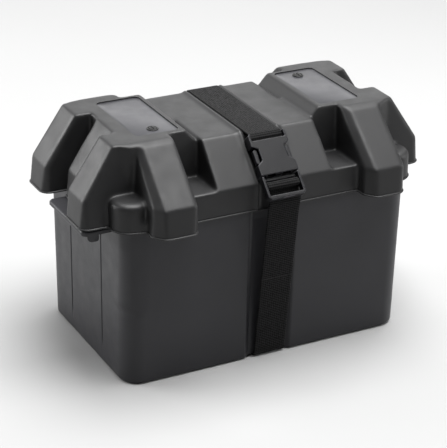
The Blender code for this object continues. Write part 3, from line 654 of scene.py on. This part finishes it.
def make_box():
    shoulder = RIM_Z - GAP
    rings = []
    for i in range(FOOT_RINGS + 1):
        a = math.pi / 2 * i / FOOT_RINGS
        pull = BOX_FOOT * (1 - math.sin(a))
        rings.append(wall_ring(BOX_HALF - Vector((pull, pull)), BOX_CORNER - pull,
                               BOX_FOOT * (1 - math.cos(a)), CHANNEL_DEPTH))
    for i in range(1, WALL_RINGS + 1):
        t = i / WALL_RINGS
        z = BOX_FOOT + (shoulder - BOX_FOOT) * t
        groove = GROOVE_DEPTH * smoothstep(z, *GROOVE_START)
        rings.append(wall_ring(BOX_HALF.lerp(BOX_TOP_HALF, t), BOX_CORNER, z, CHANNEL_DEPTH, groove))
    base = from_bmesh("box_shell", loft(rings))
    neck = BOX_TOP_HALF - Vector((COLLAR, COLLAR))
    neck_r = BOX_CORNER - COLLAR
    lip = [rounded_outline(neck.x - pull, neck.y - pull, neck_r - pull)
           for pull in (0.0, 0.0, 0.0004, 0.0012)]
    heights = (shoulder - 0.01, BASE_HIGH.z - 0.0012, BASE_HIGH.z - 0.0004, BASE_HIGH.z)
    cut(base, [from_bmesh("spigot", loft([[(x, y, z) for x, y in ring]
                                          for ring, z in zip(lip, heights)]))], "UNION")
    wall = Vector((WALL, WALL))
    inside = neck - Vector((NECK_WALL, NECK_WALL))
    inside_r = neck_r - NECK_WALL
    hollow = from_bmesh("hollow", loft([
        wall_ring(BOX_HALF - wall * 1.6, BOX_CORNER - 0.005, FLOOR_Z, CHANNEL_DEPTH),
        wall_ring(BOX_HALF - wall * 1.15, BOX_CORNER - 0.0035, FLOOR_Z + 0.001, CHANNEL_DEPTH),
        wall_ring(BOX_HALF - wall, BOX_CORNER - WALL, FLOOR_Z + 0.003, CHANNEL_DEPTH),
        wall_ring(inside, inside_r, BASE_HIGH.z - 0.017, CHANNEL_DEPTH),
        wall_ring(inside, inside_r, BASE_HIGH.z - 0.012, CHANNEL_IN_NECK),
        wall_ring(inside, inside_r, BASE_HIGH.z + 0.01, CHANNEL_IN_NECK)]))
    ribs = [from_bmesh("hump", box(-CHANNEL_HALF - WALL, CHANNEL_HALF + WALL, -0.2, 0.2, -0.01,
                                   FLOOR_RIB_TOP))]
    half_x, half_y = FLOOR_RIB_HALF
    for x in (-FLOOR_RIB_X, FLOOR_RIB_X):
        ribs.append(from_bmesh("rib", box(x - half_x, x + half_x, -half_y, half_y, -0.01,
                                          FLOOR_RIB_TOP)))
    cut(hollow, ribs)
    soft = CHANNEL_HALF + 0.002
    under = from_bmesh("under", loft([[(x, y, z) for x, z in (
        (-soft, -0.001), (soft, -0.001), (CHANNEL_HALF, CHANNEL_DEPTH), (-CHANNEL_HALF, CHANNEL_DEPTH))]
        for y in (-0.2, 0.2)]))
    cut(base, [under, hollow])
    cut(base, make_grips(shoulder), "UNION")
    smooth_shade(base, 32)
    finish(base, "box", "root", "box_base")


# ---- strap --------------------------------------------------------------------------------
def on_slope(s, h):
    point = Vector((0, -DECK_EDGE_Y, DECK_Z)) + SLOPE_DOWN * s + SLOPE_OUT * h
    return (point.y, point.z)


def rounded_path(points, reach, step=0.0006):
    """Even points along a polyline whose bends are rounded over the reach on each side."""
    points = [Vector(p) for p in points]
    curve = [points[0]]
    for before, here, after in zip(points, points[1:], points[2:]):
        r = min(reach, (here - before).length * 0.48, (after - here).length * 0.48)
        start = here + (before - here).normalized() * r
        end = here + (after - here).normalized() * r
        for i in range(9):
            t = i / 8
            curve.append(start * (1 - t) ** 2 + here * 2 * t * (1 - t) + end * t ** 2)
    curve.append(points[-1])
    even = [curve[0]]
    left = step
    for start, end in zip(curve, curve[1:]):
        length = (end - start).length
        while left <= length:
            even.append(start.lerp(end, left / length))
            left += step
        left -= length
    if (even[-1] - curve[-1]).length > step * 0.4:
        even.append(curve[-1])
    return even


def ribbon(name, path, reach=0.004):
    """Woven strap along (y, z) points, with real ribs, thicker hems and a map along it."""
    line = rounded_path(path, reach)
    positions = [math.sin(math.pi / 2 * (-1 + 2 * i / STRAP_COLUMNS))
                 for i in range(STRAP_COLUMNS + 1)]
    bm = bmesh.new()
    uv = bm.loops.layers.uv.new("along")
    rows = []
    run = 0.0
    for i, here in enumerate(line):
        if i:
            run += (here - line[i - 1]).length
        tangent = (line[min(i + 1, len(line) - 1)] - line[max(i - 1, 0)]).normalized()
        out = Vector((-tangent.y, tangent.x))
        rib = math.sin(2 * math.pi * run / RIB_PITCH)
        front = []
        back = []
        for u in positions:
            edge = math.sqrt(max(0.0, 1 - abs(u) ** 14))
            hem = HEM_HIGH * smoothstep(abs(u), 0.84, 0.88) * (1 - smoothstep(abs(u), 0.95, 1.0))
            thick = STRAP_THICK / 2 * (0.25 + 0.75 * edge) + hem
            ripple = RIB_HIGH * rib * (1 - smoothstep(abs(u), 0.90, 1.0))
            x = STRAP_X + u * (STRAP_HALF - 0.0002)
            for rank, way in ((front, 1), (back, -1)):
                spot = here + out * way * (thick + way * ripple)
                rank.append((bm.verts.new((x, spot.x, spot.y)), u * STRAP_HALF, run))
        rows.append(front + back[::-1])
    count = len(rows[0])
    for low, high in zip(rows, rows[1:]):
        for i in range(count):
            j = (i + 1) % count
            corners = (low[i], low[j], high[j], high[i])
            face = bm.faces.new([corner[0] for corner in corners])
            for loop, corner in zip(face.loops, corners):
                loop[uv].uv = (corner[1], corner[2])
    bm.faces.new([corner[0] for corner in rows[0]][::-1])
    bm.faces.new([corner[0] for corner in rows[-1]])
    return smooth_shade(from_bmesh(name, bm), 60)


def make_strap():
    """Strap over the lid, its front and back runs, and the loop through the plug."""
    slope_top = (DECK_EDGE_Y + STRAP_LIFT * 0.41, DECK_Z + STRAP_LIFT)
    slope_foot = (SKIRT_TOP_Y + STRAP_LIFT * 0.98, SHOULDER_Z + STRAP_LIFT * 0.42)
    back_top = (SKIRT_Y + STRAP_LIFT + 0.0002, RIM_Z + 0.001)
    over = [back_top, slope_foot, slope_top, (-slope_top[0], slope_top[1])]
    over += [on_slope(s, h) for s, h in STRAP_OVER_SOCKET]
    finish(ribbon("strap_over_lid", over), "webbing", "lid", "strap_over")

    foot_y = BOX_HALF.y - CHANNEL_DEPTH
    corner = [(foot_y + y, z) for y, z in CHANNEL_TURN]
    low = (-corner[0][0], corner[0][1])
    share = (SPLIT_Z - low[1]) / (FRONT_TOP[1] - low[1])
    split = (low[0] + (FRONT_TOP[0] - low[0]) * share, SPLIT_Z)
    below = [split] + [(-y, z) for y, z in corner] + [(0.0, corner[2][1])]
    behind = [(0.0, corner[2][1])] + corner[::-1] + [back_top]
    front_run = finish(ribbon("strap_front_run", below), "webbing", None, "strap_lower")
    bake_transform(front_run)
    back_run = finish(ribbon("strap_back_run", behind), "webbing", None, "strap_lower")
    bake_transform(back_run)
    hanging = finish(ribbon("strap_upper_front", [split, FRONT_TOP]), "webbing", None, "strap_lower")
    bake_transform(hanging)

    loop = [FRONT_TOP] + [on_slope(s, h) for s, h in STRAP_IN_PLUG]
    finish(ribbon("strap_plug_loop", loop, 0.0012), "webbing", "plug", "strap_loop")


# ---- buckle, battery and small parts ------------------------------------------------------
def bar_cutter():
    """Room over the plug's first bar, which lies lower than its side rails."""
    (s0, s1), (h0, h1) = PLUG_BAR
    half = STRAP_HALF + 0.0004
    return from_bmesh("room", loft([[(STRAP_X + x, *on_slope(s, h)) for s, h in
                                     ((s0, h0), (s1, h0), (s1, h1), (s0, h1))]
                                    for x in (-half, half)]))


def spread_prong(piece):
    """Bow the arm out into the socket's side window, clear of the window's inner wall."""
    for vertex in piece.data.vertices:
        point = vertex.co - Vector((STRAP_X, -DECK_EDGE_Y, DECK_Z))
        s = point.dot(SLOPE_DOWN)
        bow = smoothstep(s, *PRONG_BOW_START) * (1 - smoothstep(s, *PRONG_BOW_END))
        vertex.co.x += math.copysign(PRONG_BOW * bow, point.x)


def make_buckle():
    """Socket, plug and prongs with softened edges."""
    for node, name, body in (("buckle_socket", "socket_body", "lid"),
                             ("buckle_plug", "plug_body", "plug"),
                             ("prong_left", "prong_arm_left", "prong_left"),
                             ("prong_right", "prong_arm_right", "prong_right")):
        piece = node_copy(node, name)
        if name == "plug_body":
            cut(piece, [bar_cutter()])
        remesh(piece, BUCKLE_VOXEL, 5, keep=0.5)
        if body.startswith("prong"):
            spread_prong(piece)
        finish(smooth_shade(piece, 0), "buckle", body, node)


def soften(node, kind, width, segments=2, angle=40, slot=None):
    """Copy of a CAD node with its edges rounded."""
    piece = bevel(node_copy(node, node + "_soft"), width, segments, angle)
    smooth_shade(piece, 40)
    return finish(piece, kind, frame["nodes"][node]["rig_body"], node, slot=slot)


def turned(middle, profile, sides=48):
    """Upright turned piece from (radius, z) pairs, closed at both ends."""
    turn = [2 * math.pi * i / sides for i in range(sides)]
    return loft([[(middle.x + r * math.cos(a), middle.y + r * math.sin(a), z) for a in turn]
                 for r, z in profile])


def make_labels():
    """Sunk label plates, each with a slotted vent plug."""
    face = TOP_Z - LABEL_BELOW
    for side, name in ((-1, "left"), (1, "right")):
        plate = from_bmesh("label_face_" + name, slab(label_outline(side, -GAP), TOP_Z - LABEL_DEPTH
                                                      + GAP / 2, face))
        finish(smooth_shade(bevel(plate, 0.0002, 2)), "label", "lid", "label_plate_" + name)
        low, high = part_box("vent_plug_" + name)
        middle = (low + high) / 2
        radius = (high.x - low.x) / 2
        plug = from_bmesh("vent_disc_" + name, turned(middle, [
            (radius - pull, face + high) for pull, high in VENT_PROFILE]))
        inset, half, floor = VENT_SLOT
        reach = radius - inset
        slots = [from_bmesh("slot", box(middle.x - x, middle.x + x, middle.y - y, middle.y + y,
                                        face + floor, face + 0.01))
                 for x, y in ((reach, half), (half, reach))]
        finish(smooth_shade(cut(plug, slots), 30), "plug", "lid", "vent_plug_" + name)


def make_battery():
    """Battery pieces: copies of their nodes with rounded edges."""
    soften("battery_case", "case", 0.0008)
    soften("battery_cover", "cover", 0.0008)
    for side in ("left", "right"):
        soften("vent_cap_" + side, "cap", 0.0015, 3)
    for pole in ("positive", "negative"):
        soften("terminal_post_" + pole, "lead", 0.0005)
        soften("terminal_stud_" + pole, "steel", 0.0003)
        soften("lock_washer_" + pole, "steel", 0.0002)
        soften("wing_nut_" + pole, "steel", 0.0005)
    for name, node in frame["nodes"].items():
        if name.startswith("cell_"):
            soften(name, "lead" if "link" in name else "plates", 0.0006, slot="plates")


# ---- studio -------------------------------------------------------------------------------
def make_floor():
    half = FLOOR_HALF
    floor = from_bmesh("studio_floor", box(-half, half, -half, half, -0.02, 0.0))
    n = Nodes("pale_floor", (0.355, 0.355, 0.355), 0.9, specular=0.1)
    n.to("Base Color", n.blend(n.noise(3.0), (0.350, 0.350, 0.350), (0.360, 0.360, 0.360)))
    floor.data.materials.append(n.material)


def soft_light(name, place, target, size, power):
    data = bpy.data.lights.new(name, "AREA")
    data.shape = "RECTANGLE"
    data.size, data.size_y = size
    data.energy = power
    lamp = bpy.data.objects.new(name, data)
    bpy.context.scene.collection.objects.link(lamp)
    lamp.location = place
    lamp.rotation_euler = (Vector(target) - Vector(place)).to_track_quat("-Z", "Y").to_euler()


def make_lights():
    world = bpy.data.worlds.new("studio")
    bpy.context.scene.world = world
    world.use_nodes = True
    background = world.node_tree.nodes["Background"]
    background.inputs["Color"].default_value = (1.0, 1.0, 1.0, 1.0)
    background.inputs["Strength"].default_value = AMBIENT
    for name, (place, target, size, power) in LIGHTS.items():
        soft_light(name, place, target, size, power)


def make_camera():
    data = bpy.data.cameras.new("camera")
    data.lens = CAMERA_LENS
    data.sensor_width = 36.0
    camera = bpy.data.objects.new("camera", data)
    bpy.context.scene.collection.objects.link(camera)
    look = (CAMERA_AIM - CAMERA_PLACE).to_track_quat("-Z", "Y").to_matrix().to_4x4()
    roll = Matrix.Rotation(CAMERA_ROLL, 4, "Z")
    camera.matrix_world = Matrix.Translation(CAMERA_PLACE) @ look @ roll
    bpy.context.scene.camera = camera


make_lid()
make_box()
make_strap()
make_buckle()
make_labels()
make_battery()
make_floor()
make_lights()
make_camera()
bpy.context.scene.view_settings.view_transform = "Standard"


def corners(bounds):
    return [list(map(float, corner)) for corner in bounds]
